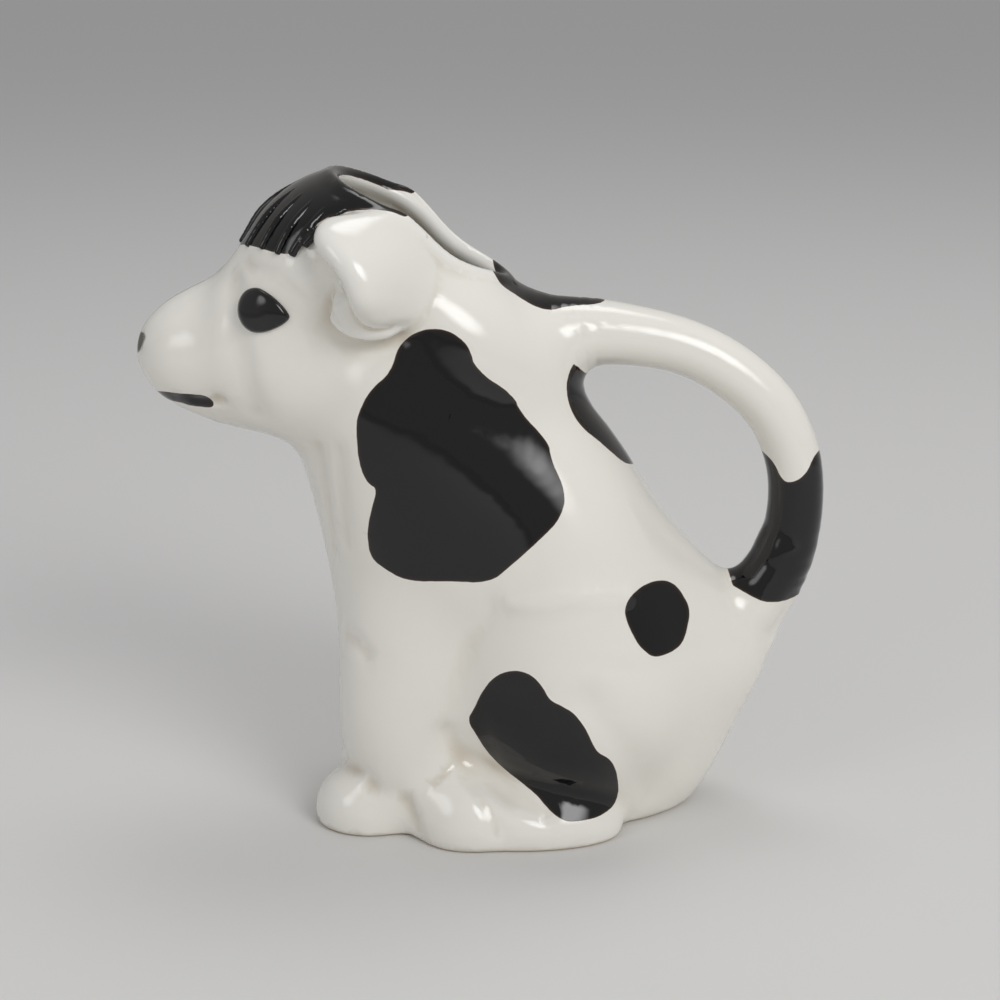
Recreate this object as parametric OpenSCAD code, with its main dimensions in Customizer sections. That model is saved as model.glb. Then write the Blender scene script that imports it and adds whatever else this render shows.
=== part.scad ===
// Cream jug in the shape of a sitting calf, slip cast in one glazed ceramic body.
// X runs from the nose (-) to the tail (+), Z is up and the jug stands on Z = 0.
// The skin is a blend of rounded forms. It is drawn as rings of points that look outwards from a spine,
// and the cavity, the ears, the hair, the eyes and the tail all take their places from the same skin.

/* [Jug] */
// Length from the nose to the outside of the tail
jug_length = 145; // [110:1:190]
// Width over the haunches
jug_width = 68; // [54:1:90]
// Height of the crown over the table
jug_height = 140; // [110:1:180]
// Thickness of the cast wall
wall = 3.6; // [2.6:0.1:4.6]

/* [Mouths] */
// Length of the filling mouth, from the crown to the shoulder
mouth_length = 32; // [26:1:35]
// Width of the filling mouth
mouth_width = 28; // [20:1:30]
// Thickness of the rolled lip round the filling mouth
lip_thickness = 3.8; // [3:0.1:5]
// Bore of the pour hole between the lips of the muzzle
pour_bore = 7; // [5:0.5:8]

/* [Foot] */
// Width of the unglazed ring that the jug stands on
foot_ring = 6; // [4:0.5:9]
// Depth of the recess inside that ring
foot_recess = 1.2; // [0.6:0.1:2]
// How far the right forefoot stands behind the left one
forefoot_setback = 3.5; // [0:0.5:6]

/* [Tail] */
// Thickness of the tail that makes the handle
tail_thickness = 11.8; // [9:0.2:15]
// Width of the tail across the jug
tail_width = 12.6; // [9:0.2:16]

/* [Ears] */
// Length of an ear from its fold to its tip
ear_length = 25; // [18:1:30]
// Width of an ear along its fold
ear_width = 22; // [16:1:28]
// Thickness of an ear
ear_thickness = 6; // [4:0.5:8]
// How far an ear stands off the neck
ear_spread = 6; // [4:0.5:9]

/* [Hair] */
// Width of one lock of the forelock
lock_width = 10; // [8:0.25:12]
// How far the locks stand proud of the brow
lock_height = 2.4; // [1.5:0.1:3.5]

/* [Eyes] */
// Length of an eye
eye_length = 11; // [8:0.5:14]
// Height of an eye
eye_height = 9; // [6:0.5:11]
// How far an eye bulges from the face
eye_bulge = 1.8; // [1:0.1:3]

/* [Hidden] */

// Points round a ring and rings along each stretch of the skin
skin_points = 52;
cavity_points = 32;
skin_rings = [27, 17, 3, 9];
cavity_rings = [12, 9, 2, 5];
// Closeness to which a ray finds the skin, and the most steps that it takes
ray_tolerance = 0.02;
ray_steps = 18;
overrun = 4;

jug = [jug_length, jug_width, jug_height];
// Measures across the wall, such as blends, follow the mean size of the jug
jug_size = (jug_length + jug_width + jug_height) / 3;

// One row for each form of the calf: its centre and its three radii as shares of length, width and height,
// its tilt in degrees about Y, and the blend with the forms above it as a share of the mean size.
form_shares = [
    // seat, rump and belly
    [[0.134, 0, 0.186], [0.247, 0.235, 0.272], 18, 0],
    [[0.277, 0, 0.262], [0.146, 0.200, 0.114], 0, 0.10],
    [[0.114, 0, 0.320], [0.179, 0.412, 0.366], -12, 0.12],
    // chest, shoulders and nape
    [[-0.077, 0, 0.392], [0.152, 0.320, 0.258], -3, 0.10],
    [[-0.079, 0, 0.599], [0.186, 0.382, 0.286], -27, 0.10],
    [[-0.048, 0, 0.790], [0.086, 0.312, 0.208], -54, 0.085],
    // crown, jaw, muzzle and cheeks
    [[-0.195, 0, 0.879], [0.150, 0.345, 0.120], -16, 0.07],
    [[-0.331, 0, 0.726], [0.121, 0.180, 0.120], 14, 0.085],
    [[-0.421, 0, 0.726], [0.079, 0.156, 0.075], 0, 0.07],
    [[-0.280, -0.112, 0.757], [0.097, 0.160, 0.125], 0, 0.07],
    // haunch, hind foot, hind toes and foreleg
    [[0.130, -0.184, 0.230], [0.163, 0.255, 0.170], -35, 0.05],
    [[0.048, -0.290, 0.020], [0.154, 0.143, 0.068], 2, 0.040],
    [[-0.026, -0.290, 0.024], [0.068, 0.141, 0.082], 0, 0.032],
    [[-0.114, -0.168, 0.190], [0.101, 0.178, 0.208], 0, 0.07],
    // the clay that joins the forelegs
    [[-0.093, 0, 0.143], [0.103, 0.190, 0.243], 0, 0.05]];
paw_shares = [[-0.169, -0.176, 0.021], [0.085, 0.153, 0.075], 0, 0.028];

// Where the spine runs: heights and places are shares of the jug's height and length
throat_share = [-0.345, 0.514];
seat_middle_shares = [0.034, -0.020];
turn_reach_share = 0.31;
dome_share = [-0.40, 0.722];
// Rays look down a little over the feet, and crowd together to the front and the back of a ring
foot_lean = 20;
crowding = 8;

function form(row) = [
    [row[0].x * jug.x, row[0].y * jug.y, row[0].z * jug.z],
    [row[1].x * jug.x, row[1].y * jug.y, row[1].z * jug.z],
    cos(row[2]), sin(row[2]), max(row[3] * jug_size, ray_tolerance)];
forms = [for (row = form_shares) form(row)];
paw = form(paw_shares);

function over(a, b) = [a.x / b.x, a.y / b.y, a.z / b.z];
// About how far point p lies outside the tilted ellipsoid f
function form_distance(p, f) = let (
    d = p - f[0],
    u = over([d.x * f[2] - d.z * f[3], d.y, d.x * f[3] + d.z * f[2]], f[1]),
    n = norm(u)) n * (n - 1) / norm(over(u, f[1]));
function blend(a, b, k) = let (h = max(k - abs(a - b), 0)) min(a, b) - h * h / k / 4;
function blend_from(p, i, d) = i == len(forms) ? d
    : blend_from(p, i + 1, blend(d, form_distance(p, forms[i]), forms[i][4]));
// About how far point p lies outside the calf's skin, the same on both sides but for the set-back forefoot
function skin_distance(p) = let (
    q = [p.x, -abs(p.y), p.z],
    w = [p.x - (p.y > 0 ? forefoot_setback : 0), q.y, q.z])
    blend(blend_from(q, 1, form_distance(q, forms[0])), form_distance(w, paw), paw[4]);
// Length of a ray from c along v to the surface that lies depth inside the skin
function reach(c, v, depth, r = 0, i = 0) = let (d = skin_distance(c + r * v) + depth)
    i == ray_steps || abs(d) < ray_tolerance ? r : reach(c, v, depth, r - d, i + 1);

// The spine: up from the foot, round the throat and out to the nose. A station holds the middle of a ring,
// the direction in which its first point lies, the direction in which the spine runs, and how far the rays
// lean from that direction.
throat = [throat_share[0] * jug.x, 0, throat_share[1] * jug.z];
dome = [dome_share[0] * jug.x, 0, dome_share[1] * jug.z];
function mix(a, b, t) = a + (b - a) * t;
function stations(rings, floor_z) = [
    for (i = [0:rings[0] - 1]) let (t = i / rings[0], z = mix(floor_z, throat.z, t))
        [[mix(seat_middle_shares[0], seat_middle_shares[1], t) * jug.x, 0, z], [1, 0, 0], [0, 0, 1],
            90 + foot_lean * sin(180 * t)],
    for (i = [0:rings[1] - 1]) let (t = i / rings[1], a = 90 * t, u = [cos(a), 0, sin(a)])
        [throat + u * mix(throat_to_middle, dome.z - throat.z, t), u, [-sin(a), 0, cos(a)], 90],
    for (i = [0:rings[2] - 1]) let (t = i / rings[2])
        [[mix(throat.x, dome.x, t), 0, dome.z], [0, 0, 1], [-1, 0, 0], 90],
    for (i = [0:rings[3] - 1]) [dome, [0, 0, 1], [-1, 0, 0], 90 - 90 * i / rings[3]]];
throat_to_middle = turn_reach_share * jug.x;
function ray(s, a) = s[2] * cos(s[3]) + (s[1] * cos(a) + [0, sin(a), 0]) * sin(s[3]);
function ring(s, count, depth) = [
    for (j = [0:count - 1]) let (a = 360 * j / count, v = ray(s, a - crowding * sin(2 * a)))
        s[0] + v * reach(s[0], v, depth)];

// A closed solid from rings of count points: the first ring is a flat floor and the last closes on a tip
module wrapped(rings, tip) {
    count = len(rings[0]);
    last = len(rings) * count;
    polyhedron(
        points = concat([for (r = rings) each r], [tip]),
        faces = concat(
            [[for (j = [0:count - 1]) j]],
            [for (i = [0:len(rings) - 2], j = [0:count - 1]) let (k = (j + 1) % count, b = i * count)
                each [[b + j, b + count + j, b + k], [b + k, b + count + j, b + count + k]]],
            [for (j = [0:count - 1]) let (b = last - count) [b + j, last, b + (j + 1) % count]]));
}

module skin(rings, count, depth, floor_z) {
    tip_ray = [-1, 0, 0];
    wrapped([for (s = stations(rings, floor_z)) ring(s, count, depth)],
        dome + tip_ray * reach(dome, tip_ray, depth));
}

module outer_skin() {
    skin(skin_rings, skin_points, 0, 0);
}

// Filling mouth: an egg, wide at the crown, seen from above along the middle of its lip
mouth_middle_share = -0.093;
mouth_floor_share = 0.757;
mouth_taper_share = 0.3;
lip_segments = 32;
function mouth_edge(t) = [
    mouth_middle_share * jug.x + (mouth_length + lip_thickness) / 2 * cos(t),
    (mouth_width + lip_thickness) / 2 * sin(t) * (1 - mouth_taper_share * cos(t))];
function lip_point(t) = let (e = mouth_edge(t), c = [e.x, e.y, mouth_floor_share * jug.z], up = [0, 0, 1])
    c + up * reach(c, up, wall / 2);
lip_line = [for (i = [0:lip_segments - 1]) lip_point(360 * i / lip_segments)];

module lip() {
    for (i = [0:lip_segments - 1]) hull() {
        translate(lip_line[i]) sphere(d = lip_thickness, $fn = 10);
        translate(lip_line[(i + 1) % lip_segments]) sphere(d = lip_thickness, $fn = 10);
    }
}

module mouth_cut() {
    translate([0, 0, mouth_floor_share * jug.z])
        linear_extrude(jug.z)
            polygon([for (i = [0:lip_segments - 1]) mouth_edge(360 * i / lip_segments)]);
}

// Pour hole between the lips of the muzzle
pour_height_share = 0.686;
module pour_cut() {
    translate([-jug.x / 2 - overrun, 0, pour_height_share * jug.z])
        rotate([0, 90, 0]) cylinder(d = pour_bore, h = dome.x + jug.x / 2 + overrun, $fn = 24);
}

module foot_cut() {
    translate([0, 0, -overrun]) linear_extrude(foot_recess + overrun)
        offset(r = -foot_ring)
            polygon([for (p = ring(stations(skin_rings, 0)[0], skin_points, 0)) [p.x, p.y]]);
}

module body_shell() {
    color("ivory") {
        difference() {
            outer_skin();
            skin(cavity_rings, cavity_points, wall, wall + foot_recess);
            mouth_cut();
            pour_cut();
            foot_cut();
        }
        lip();
    }
}

// The tail leaves the shoulder, turns over and lies down on the rump. Each row is a place as shares of the
// jug's length and height, and the tail's thickness there as a share of tail_thickness.
tail_shares = [
    [0.069, 0.743, 1.50], [0.179, 0.754, 1.12], [0.276, 0.737, 1], [0.352, 0.700, 1], [0.414, 0.643, 1],
    [0.450, 0.571, 1], [0.460, 0.493, 1], [0.448, 0.414, 1.05], [0.405, 0.335, 1.15]];
tail_tip_shares = [[0.462, 0.338, 0.2], [0.430, 0.262, 0.2]];
tail_steps = 3;
// A smooth curve through the rows, which passes each of them
function through(a, b, c, d, t) = 0.5 * (2 * b + (c - a) * t + (2 * a - 5 * b + 4 * c - d) * t * t
    + (3 * b - a - 3 * c + d) * t * t * t);
tail_line = let (n = len(tail_shares) - 1) [
    for (i = [0:n - 1], s = [0:tail_steps - 1])
        through(tail_shares[max(i - 1, 0)], tail_shares[i], tail_shares[i + 1],
            tail_shares[min(i + 2, n)], s / tail_steps),
    tail_shares[n]];

module tail_ball(row) {
    translate([row.x * jug.x, 0, row.y * jug.z])
        scale([tail_thickness, tail_width, tail_thickness] * row.z) sphere(d = 1, $fn = 14);
}

module tail_handle() {
    color("ivory") difference() {
        union() {
            for (i = [0:len(tail_line) - 2]) hull() {
                tail_ball(tail_line[i]);
                tail_ball(tail_line[i + 1]);
            }
            hull() {
                tail_ball(tail_shares[len(tail_shares) - 2]);
                for (tip = tail_tip_shares) tail_ball(tip);
            }
        }
        outer_skin();
    }
}

// An ear is a thick leaf that hangs from its fold. A row holds how far it lies below the top of the ear as a
// share of ear_length, where its front and its back edge lie as shares of ear_width, and how far it stands
// off as a share of ear_spread. Its columns run from the free front edge to the back edge on the neck.
ear_top_share = [-0.166, 0.962];
ear_row_shares = [
    [0.15, -0.14, 0.18, 0.05], [0.26, -0.29, 0.32, 0.8], [0.53, -0.04, 0.43, 1.1],
    [0.73, 0.04, 0.39, 0.95], [0.86, 0.05, 0.30, 0.75]];
ear_column_shares = [1, 1.05, 0.75, 0.15];
module ear_ball(row, column) {
    x = ear_top_share[0] * jug.x + mix(row[1], row[2], column / 3) * ear_width;
    z = ear_top_share[1] * jug.z - row[0] * ear_length;
    away = row[3] * ear_column_shares[column] * ear_spread;
    translate([x, -reach([x, 0, z], [0, -1, 0], 0) - away, z]) sphere(d = ear_thickness, $fn = 12);
}

module ear() {
    difference() {
        for (r = [0:len(ear_row_shares) - 2], c = [0:2]) hull() {
            ear_ball(ear_row_shares[r], c);
            ear_ball(ear_row_shares[r], c + 1);
            ear_ball(ear_row_shares[r + 1], c);
            ear_ball(ear_row_shares[r + 1], c + 1);
        }
        outer_skin();
    }
}

module left_ear() {
    color("ivory") ear();
}

module right_ear() {
    color("ivory") mirror([0, 1, 0]) ear();
}

// The forelock: locks that fan out from the crown, overlap and hang over the brow
hair_root_share = [-0.205, 0.843];
lock_turns = [-66, -43, -21, 0, 21, 43, 66];
lock_leans = [76, 58, 40, 27];
lock_height_shares = [0.1, 0.5, 0.9, 1];
lock_size_shares = [1.1, 1.05, 0.95, 0.8];
module lock_ball(turn, i) {
    root = [hair_root_share[0] * jug.x, 0, hair_root_share[1] * jug.z];
    spread = turn * (0.8 + 0.07 * i);
    lean = lock_leans[i];
    out = [-cos(spread) * cos(lean), -sin(spread) * cos(lean), sin(lean)];
    d = lock_width * lock_size_shares[i];
    translate(root + out * (reach(root, out, 0) + lock_height * lock_height_shares[i] - d / 2))
        sphere(d = d, $fn = 12);
}

module forelock() {
    color("black") difference() {
        for (turn = lock_turns, i = [0:len(lock_leans) - 2]) hull() {
            lock_ball(turn, i);
            lock_ball(turn, i + 1);
        }
        outer_skin();
        lip();
    }
}

// An eye is a pellet with an egg outline, pointed to the back, that bulges from the face
eye_place_share = [-0.306, 0.811];
eye_taper_share = 0.3;
eye_rim = 1.4;
eye_points = 14;
module eye_ball(t, out, d, proud) {
    x = eye_place_share[0] * jug.x + out * (eye_length - eye_rim) / 2 * cos(t);
    z = eye_place_share[1] * jug.z + out * (eye_height - eye_rim) / 2 * sin(t) * (1 - eye_taper_share * cos(t));
    translate([x, -reach([x, 0, z], [0, -1, 0], 0) - proud + d / 2, z]) sphere(d = d, $fn = 12);
}

module eye() {
    turn = 360 / eye_points;
    difference() {
        for (j = [0:eye_points - 1]) hull() {
            eye_ball(0, 0, eye_height - 2 * eye_rim, eye_bulge);
            eye_ball(j * turn, 1, eye_rim, eye_rim / 2);
            eye_ball((j + 1) * turn, 1, eye_rim, eye_rim / 2);
        }
        outer_skin();
    }
}

module left_eye() {
    color("black") eye();
}

module right_eye() {
    color("black") mirror([0, 1, 0]) eye();
}

body_shell();
tail_handle();
left_ear();
right_ear();
forelock();
left_eye();
right_eye();
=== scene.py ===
import math
from concurrent.futures import ThreadPoolExecutor

import bmesh
import bpy
import numpy as np
import openvdb
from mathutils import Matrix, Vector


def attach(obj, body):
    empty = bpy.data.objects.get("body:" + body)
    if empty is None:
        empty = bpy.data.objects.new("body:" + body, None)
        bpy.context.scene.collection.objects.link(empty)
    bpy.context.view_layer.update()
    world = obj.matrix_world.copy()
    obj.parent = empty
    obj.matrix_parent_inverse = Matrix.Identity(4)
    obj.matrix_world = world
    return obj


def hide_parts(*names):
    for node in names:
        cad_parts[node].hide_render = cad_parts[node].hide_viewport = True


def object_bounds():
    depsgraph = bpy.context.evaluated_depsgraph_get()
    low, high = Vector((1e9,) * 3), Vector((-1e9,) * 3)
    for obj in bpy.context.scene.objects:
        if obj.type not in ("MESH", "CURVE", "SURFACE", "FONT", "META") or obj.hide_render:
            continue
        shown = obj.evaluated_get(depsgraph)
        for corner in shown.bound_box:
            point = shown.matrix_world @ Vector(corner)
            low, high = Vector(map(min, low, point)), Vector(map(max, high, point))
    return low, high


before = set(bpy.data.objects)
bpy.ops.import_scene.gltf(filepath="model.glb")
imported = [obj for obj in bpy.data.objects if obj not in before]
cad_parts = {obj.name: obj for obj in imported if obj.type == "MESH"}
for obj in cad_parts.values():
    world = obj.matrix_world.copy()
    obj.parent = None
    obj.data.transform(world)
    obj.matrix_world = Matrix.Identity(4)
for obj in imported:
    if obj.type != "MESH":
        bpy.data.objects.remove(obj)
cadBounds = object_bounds()

mm = 0.001
restBody = "root"

# The camera comes first, because the brush strokes are placed by how they look through it
view = {
    "place": (3.35, -400.0, 191.2),
    "lookDown": 17.0,  # degrees below level
    "pixels": 1950.0,  # focal length in pixels of the picture
    "picture": 1000.0,  # its width and height
    "sensor": 36.0,
    "clip": (0.02, 20),
    "nearest": 340.0,  # a ray through a pixel starts this far from the camera
    "raySteps": 80,
    "rayGain": 0.8,
    "rayStride": (-4, 12),
}
lookCos = math.cos(math.radians(view["lookDown"]))
lookSin = math.sin(math.radians(view["lookDown"]))


def makeCamera():
    lens = bpy.data.cameras.new("camera")
    lens.sensor_width = view["sensor"]
    lens.lens = view["sensor"] * view["pixels"] / view["picture"]
    lens.clip_start, lens.clip_end = view["clip"]
    camera = bpy.data.objects.new("camera", lens)
    camera.location = [v * mm for v in view["place"]]
    camera.rotation_euler = (math.radians(90 - view["lookDown"]), 0, 0)
    bpy.context.scene.collection.objects.link(camera)
    bpy.context.scene.camera = camera


# Where points show in the picture, and how many pixels a millimetre takes there
def toPicture(p):
    away, up = p[:, 1] - view["place"][1], p[:, 2] - view["place"][2]
    scale = view["pixels"] / (away * lookCos - up * lookSin)
    half = view["picture"] / 2
    return half + (p[:, 0] - view["place"][0]) * scale, half - (away * lookSin + up * lookCos) * scale, scale


# The calf is a blend of rounded forms, in shares of its length, width and height
calf = {
    "size": np.array([145.0, 68.0, 140.0]),
    "wall": 3.6,
    "footSetBack": 3.5,
    "footRing": 6.0,
    "footRecess": 1.2,
    "footZone": 4.0,  # the recess is only looked for below this height
    "standing": 0.05,  # height of the flat foot over the floor
    # how widely each edge is rounded
    "soften": {"foot": 1.2, "cavityFloor": 3.0, "mouth": 1.0, "bore": 1.5, "rim": 1.0, "recess": 0.6,
               "lip": 1.2},
    "box": ((-74.5, -33.4, -2.0), (75.0, 33.4, 142.0)),
    "cell": 0.75,  # finest mesh on the skin
    "merge": 0.06,  # how readily flat stretches are merged
    "parting": 0.2,  # a piece starts where it stands this far off the body
}
meanSize = calf["size"].mean()

# centre, radii, tilt, blend with the forms above it
formTable = [
    ((0.134, 0, 0.186), (0.247, 0.235, 0.272), 18, 0),  # seat
    ((0.277, 0, 0.262), (0.146, 0.200, 0.114), 0, 0.10),  # rump
    ((0.114, 0, 0.320), (0.179, 0.412, 0.366), -12, 0.12),  # belly
    ((-0.077, 0, 0.392), (0.152, 0.320, 0.258), -3, 0.10),  # chest
    ((-0.079, 0, 0.599), (0.186, 0.382, 0.286), -27, 0.10),  # shoulder
    ((-0.048, 0, 0.790), (0.086, 0.312, 0.208), -54, 0.085),  # nape
    ((-0.195, 0, 0.879), (0.150, 0.345, 0.120), -16, 0.07),  # crown
    ((-0.331, 0, 0.726), (0.121, 0.180, 0.120), 14, 0.085),  # jaw
    ((-0.421, 0, 0.726), (0.079, 0.156, 0.075), 0, 0.07),  # muzzle
    ((-0.280, -0.112, 0.757), (0.097, 0.160, 0.125), 0, 0.07),  # cheek
    ((0.130, -0.184, 0.230), (0.163, 0.255, 0.170), -35, 0.05),  # haunch
    ((0.048, -0.290, 0.020), (0.154, 0.143, 0.068), 2, 0.040),  # hind foot
    ((-0.026, -0.290, 0.024), (0.068, 0.141, 0.082), 0, 0.032),  # hind toes
    ((-0.114, -0.168, 0.190), (0.101, 0.178, 0.208), 0, 0.07),  # foreleg
    ((-0.093, 0, 0.143), (0.103, 0.190, 0.243), 0, 0.05),  # clay between the forelegs
]
pawForm = ((-0.169, -0.176, 0.021), (0.085, 0.153, 0.075), 0, 0.028)


# About how far points lie outside one form
def oval(x, y, z, form):
    (cx, cy, cz), (rx, ry, rz) = calf["size"] * form[0], calf["size"] * form[1]
    c, s = math.cos(math.radians(form[2])), math.sin(math.radians(form[2]))
    dx, dz = x - cx, z - cz
    u, v, w = (dx * c - dz * s) / rx, (y - cy) / ry, (dx * s + dz * c) / rz
    n = np.sqrt(u * u + v * v + w * w) + 1e-6
    return n * (n - 1) / (np.sqrt((u / rx) ** 2 + (v / ry) ** 2 + (w / rz) ** 2) + 1e-9)


# The nearer of two, with the seam between them rounded over k
def softMin(a, b, k):
    h = np.maximum(k - np.abs(a - b), 0)
    return np.minimum(a, b) - h * h / (4 * k)


def softMax(a, b, k):
    return -softMin(-a, -b, k)


def skinField(x, y, z):
    side = -np.abs(y)
    d = oval(x, side, z, formTable[0])
    for form in formTable[1:]:
        d = softMin(d, oval(x, side, z, form), form[3] * meanSize)
    back = np.where(y > 0, calf["footSetBack"], 0)
    return softMin(d, oval(x - back, side, z, pawForm), pawForm[3] * meanSize)


# Goes from a start inside the body along a direction to the skin
def march(start, way, steps=40):
    t = np.zeros(len(start))
    for _ in range(steps):
        p = start + t[:, None] * way
        t = t - skinField(*p.T)
    return start + t[:, None] * way


def onSide(x, z):
    start = np.stack([x, 0 * x, z], 1)
    return march(start, np.array([0, -1.0, 0]))


# The places that pixels show, so far off the skin
def onSkin(pixels, away=0.0):
    px, py = np.array(pixels, float).T
    half = view["picture"] / 2
    u, v = (px - half) / view["pixels"], (half - py) / view["pixels"]
    way = np.stack([u, lookCos + v * lookSin, v * lookCos - lookSin], 1)
    way /= np.linalg.norm(way, axis=1)[:, None]
    t = np.full(len(px), view["nearest"])
    for _ in range(view["raySteps"]):
        p = np.array(view["place"]) + t[:, None] * way
        t = t + view["rayGain"] * np.clip(skinField(*p.T) - away, *view["rayStride"])
    return np.array(view["place"]) + t[:, None] * way


# A smooth line through all the points
def throughPoints(points, steps):
    p = np.array(points, float)
    p = np.concatenate([p[:1], p, p[-1:]])
    out = []
    for i in range(1, len(p) - 2):
        a, b, c, d = p[i - 1:i + 3]
        for t in np.arange(steps) / steps:
            out.append(0.5 * (2 * b + (c - a) * t + (2 * a - 5 * b + 4 * c - d) * t**2
                              + (3 * b - a - 3 * c + d) * t**3))
    return np.array(out + [p[-2]])


# The tail turns over into the handle: place along and up in shares, thickness in shares
tail = {
    "thickness": 11.8,
    "width": 12.6,
    "rows": [(0.060, 0.744, 1.62), (0.112, 0.750, 1.38), (0.179, 0.754, 1.14), (0.276, 0.737, 1),
             (0.352, 0.700, 1), (0.414, 0.643, 1), (0.450, 0.571, 1), (0.460, 0.493, 1),
             (0.448, 0.414, 1.05), (0.405, 0.335, 1.15)],
    "tip": [(0.448, 0.414, 1.0), (0.452, 0.350, 0.5), (0.426, 0.272, 0.2)],
    "steps": (4, 3),  # points between two rows, on the tail and on its tip
    "tipBlend": 2.0,
    "blend": 5.0,  # with the body
    "zone": (0, 18, 25),  # it lies behind, within and above these
    "ownZone": (4, 30),  # its own mesh starts behind and above these
}


# A round limb along a line, whose thickness goes from row to row
def limb(x, y, z, line, flat):
    d = None
    for a, b in zip(line[:-1], line[1:]):
        ax, az, ar = a[0] * calf["size"][0], a[1] * calf["size"][2], a[2] * tail["thickness"] / 2
        bx, bz, br = b[0] * calf["size"][0], b[1] * calf["size"][2], b[2] * tail["thickness"] / 2
        ux, uz = bx - ax, bz - az
        t = np.clip(((x - ax) * ux + (z - az) * uz) / (ux * ux + uz * uz), 0, 1)
        e = np.sqrt((x - ax - t * ux) ** 2 + (y / flat) ** 2 + (z - az - t * uz) ** 2) - ar - (br - ar) * t
        d = e if d is None else np.minimum(d, e)
    return d


tailLine = throughPoints(tail["rows"], tail["steps"][0])
tailTip = throughPoints(tail["tip"], tail["steps"][1])


def tailField(x, y, z):
    flat = tail["width"] / tail["thickness"]
    return softMin(limb(x, y, z, tailLine, flat), limb(x, y, z, tailTip, flat), tail["tipBlend"])


# An ear is a folded leaf over a small cup. A leaf is rows across it, read from the picture: the front end,
# the back end, and how far each stands off the skin. A roll is one line of such points.
ear = {
    "flap": [((330, 232), (398, 222), 0.6, -1.6), ((327, 243), (410, 238), 3.8, -2.0),
             ((347, 267), (418, 262), 6.0, -2.0), ((360, 291), (418, 286), 6.6, -1.9),
             ((365, 304), (412, 303), 5.2, -1.6), ((372, 313), (402, 311), 3.2, -0.8)],
    "flapThickness": 4.4,
    "cup": [((341, 300), (356, 298), 0.2, 2.0), ((341, 311), (372, 311), 1.0, 2.2),
            ((348, 321), (392, 321), 1.6, 1.0), ((362, 328), (386, 328), 1.8, 0.8)],
    "cupThickness": 2.4,
    "rolls": [([(335, 316), (347, 328), (367, 334), (389, 331), (404, 320)], [0.3, 1.6, 2.3, 1.7, 0.0], 1.9),
              ([(343, 283), (343, 299), (336, 312)], [0.0, 0.5, 0.2], 1.6)],
    "balls": (7, 22),  # balls from row to row, and across a row
    "rollBalls": 9,
    "bulge": 0.12,
    "sharp": 2.2,  # how closely the melted surface keeps to its balls
    "reach": 32.1,  # no ball comes further out from the middle of the jug
    "partBlend": 0.8,  # between flap, cup and rolls
    "blend": 2.0,  # with the body
    "margin": 6,
    "proud": 0.15,  # the ear's own mesh starts this far off the body
}


def earBalls(rows, thickness):
    ends = throughPoints([(*a, u, *b, v) for a, b, u, v in rows], ear["balls"][0])
    s = np.linspace(0, 1, ear["balls"][1])[None, :, None]
    row = ends[:, None, :3] * (1 - s) + ends[:, None, 3:] * s
    bulge = 1.0 + ear["bulge"] * np.sin(math.pi * s[..., 0])
    grid = row.reshape(-1, 3)
    return onSkin(grid[:, :2], grid[:, 2] * np.broadcast_to(bulge, row.shape[:2]).ravel()), thickness / 2


def earRoll(pixels, away, thickness):
    line = throughPoints([(*p, a) for p, a in zip(pixels, away)], ear["rollBalls"])
    return onSkin(line[:, :2], line[:, 2]), thickness / 2


earParts = [earBalls(ear["flap"], ear["flapThickness"]), earBalls(ear["cup"], ear["cupThickness"])]
earParts += [earRoll(*roll) for roll in ear["rolls"]]
for points, radius in earParts:
    points[:, 1] = np.maximum(points[:, 1], radius - ear["reach"])


# Many small balls melt into one smooth surface, whose growth over the balls is taken off again
def earField(x, y, z):
    side = -np.abs(y)
    out = None
    sharp = ear["sharp"]
    for points, radius in earParts:
        total = np.zeros(x.shape)
        for cx, cy, cz in points:
            total += np.exp(-sharp * np.sqrt((x - cx) ** 2 + (side - cy) ** 2 + (z - cz) ** 2))
        d = -np.log(total + 1e-30) / sharp + crowding(points, sharp) - radius
        out = d if out is None else softMin(out, d, ear["partBlend"])
    return out


def crowding(points, sharp):
    middle = points[len(points) // 2]
    return math.log(np.exp(-sharp * np.linalg.norm(points - middle, axis=1)).sum()) / sharp


# The filling mouth is an egg, wide at the crown, with a rolled lip
mouth = {
    "middle": -0.093,  # share of the length
    "floor": 0.757,  # share of the height
    "taper": 0.3,
    "length": 32.0,
    "width": 28.0,
    "lip": 3.7,
    "points": 72,
    "zone": (-38, 12, 24, 108, 7),  # the lip lies from and to these along X, within, above and near these
    "pourBore": 7.0,
    "pourHeight": 0.686,
    "pourEnd": -0.40,
    "pourOverlap": 4,
}


def mouthEdge(turn, grow=0.0):
    length, width = (mouth["length"] + mouth["lip"]) / 2 + grow, (mouth["width"] + mouth["lip"]) / 2 + grow
    return (mouth["middle"] * calf["size"][0] + length * np.cos(turn),
            width * np.sin(turn) * (1 - mouth["taper"] * np.cos(turn)))


def lipLine():
    turn = np.linspace(0, 2 * math.pi, mouth["points"], endpoint=False)
    x, y = mouthEdge(turn)
    start = np.stack([x, y, 0 * x + mouth["floor"] * calf["size"][2]], 1)
    top = march(start, np.array([0, 0, 1.0]))
    top[:, 2] -= calf["wall"] / 2
    return top


lipPoints = lipLine()


def mouthField(x, y):
    dx = x - mouth["middle"] * calf["size"][0]
    length, width = (mouth["length"] + mouth["lip"]) / 2, (mouth["width"] + mouth["lip"]) / 2
    turn = np.arctan2(y / width, dx / length)
    for _ in range(3):
        turn = np.arctan2(y / (width * (1 - mouth["taper"] * np.cos(turn))), dx / length)
    n = np.sqrt((dx / length) ** 2 + (y / (width * (1 - mouth["taper"] * np.cos(turn)))) ** 2)
    return (n - 1) * (length + width) / 2


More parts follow.
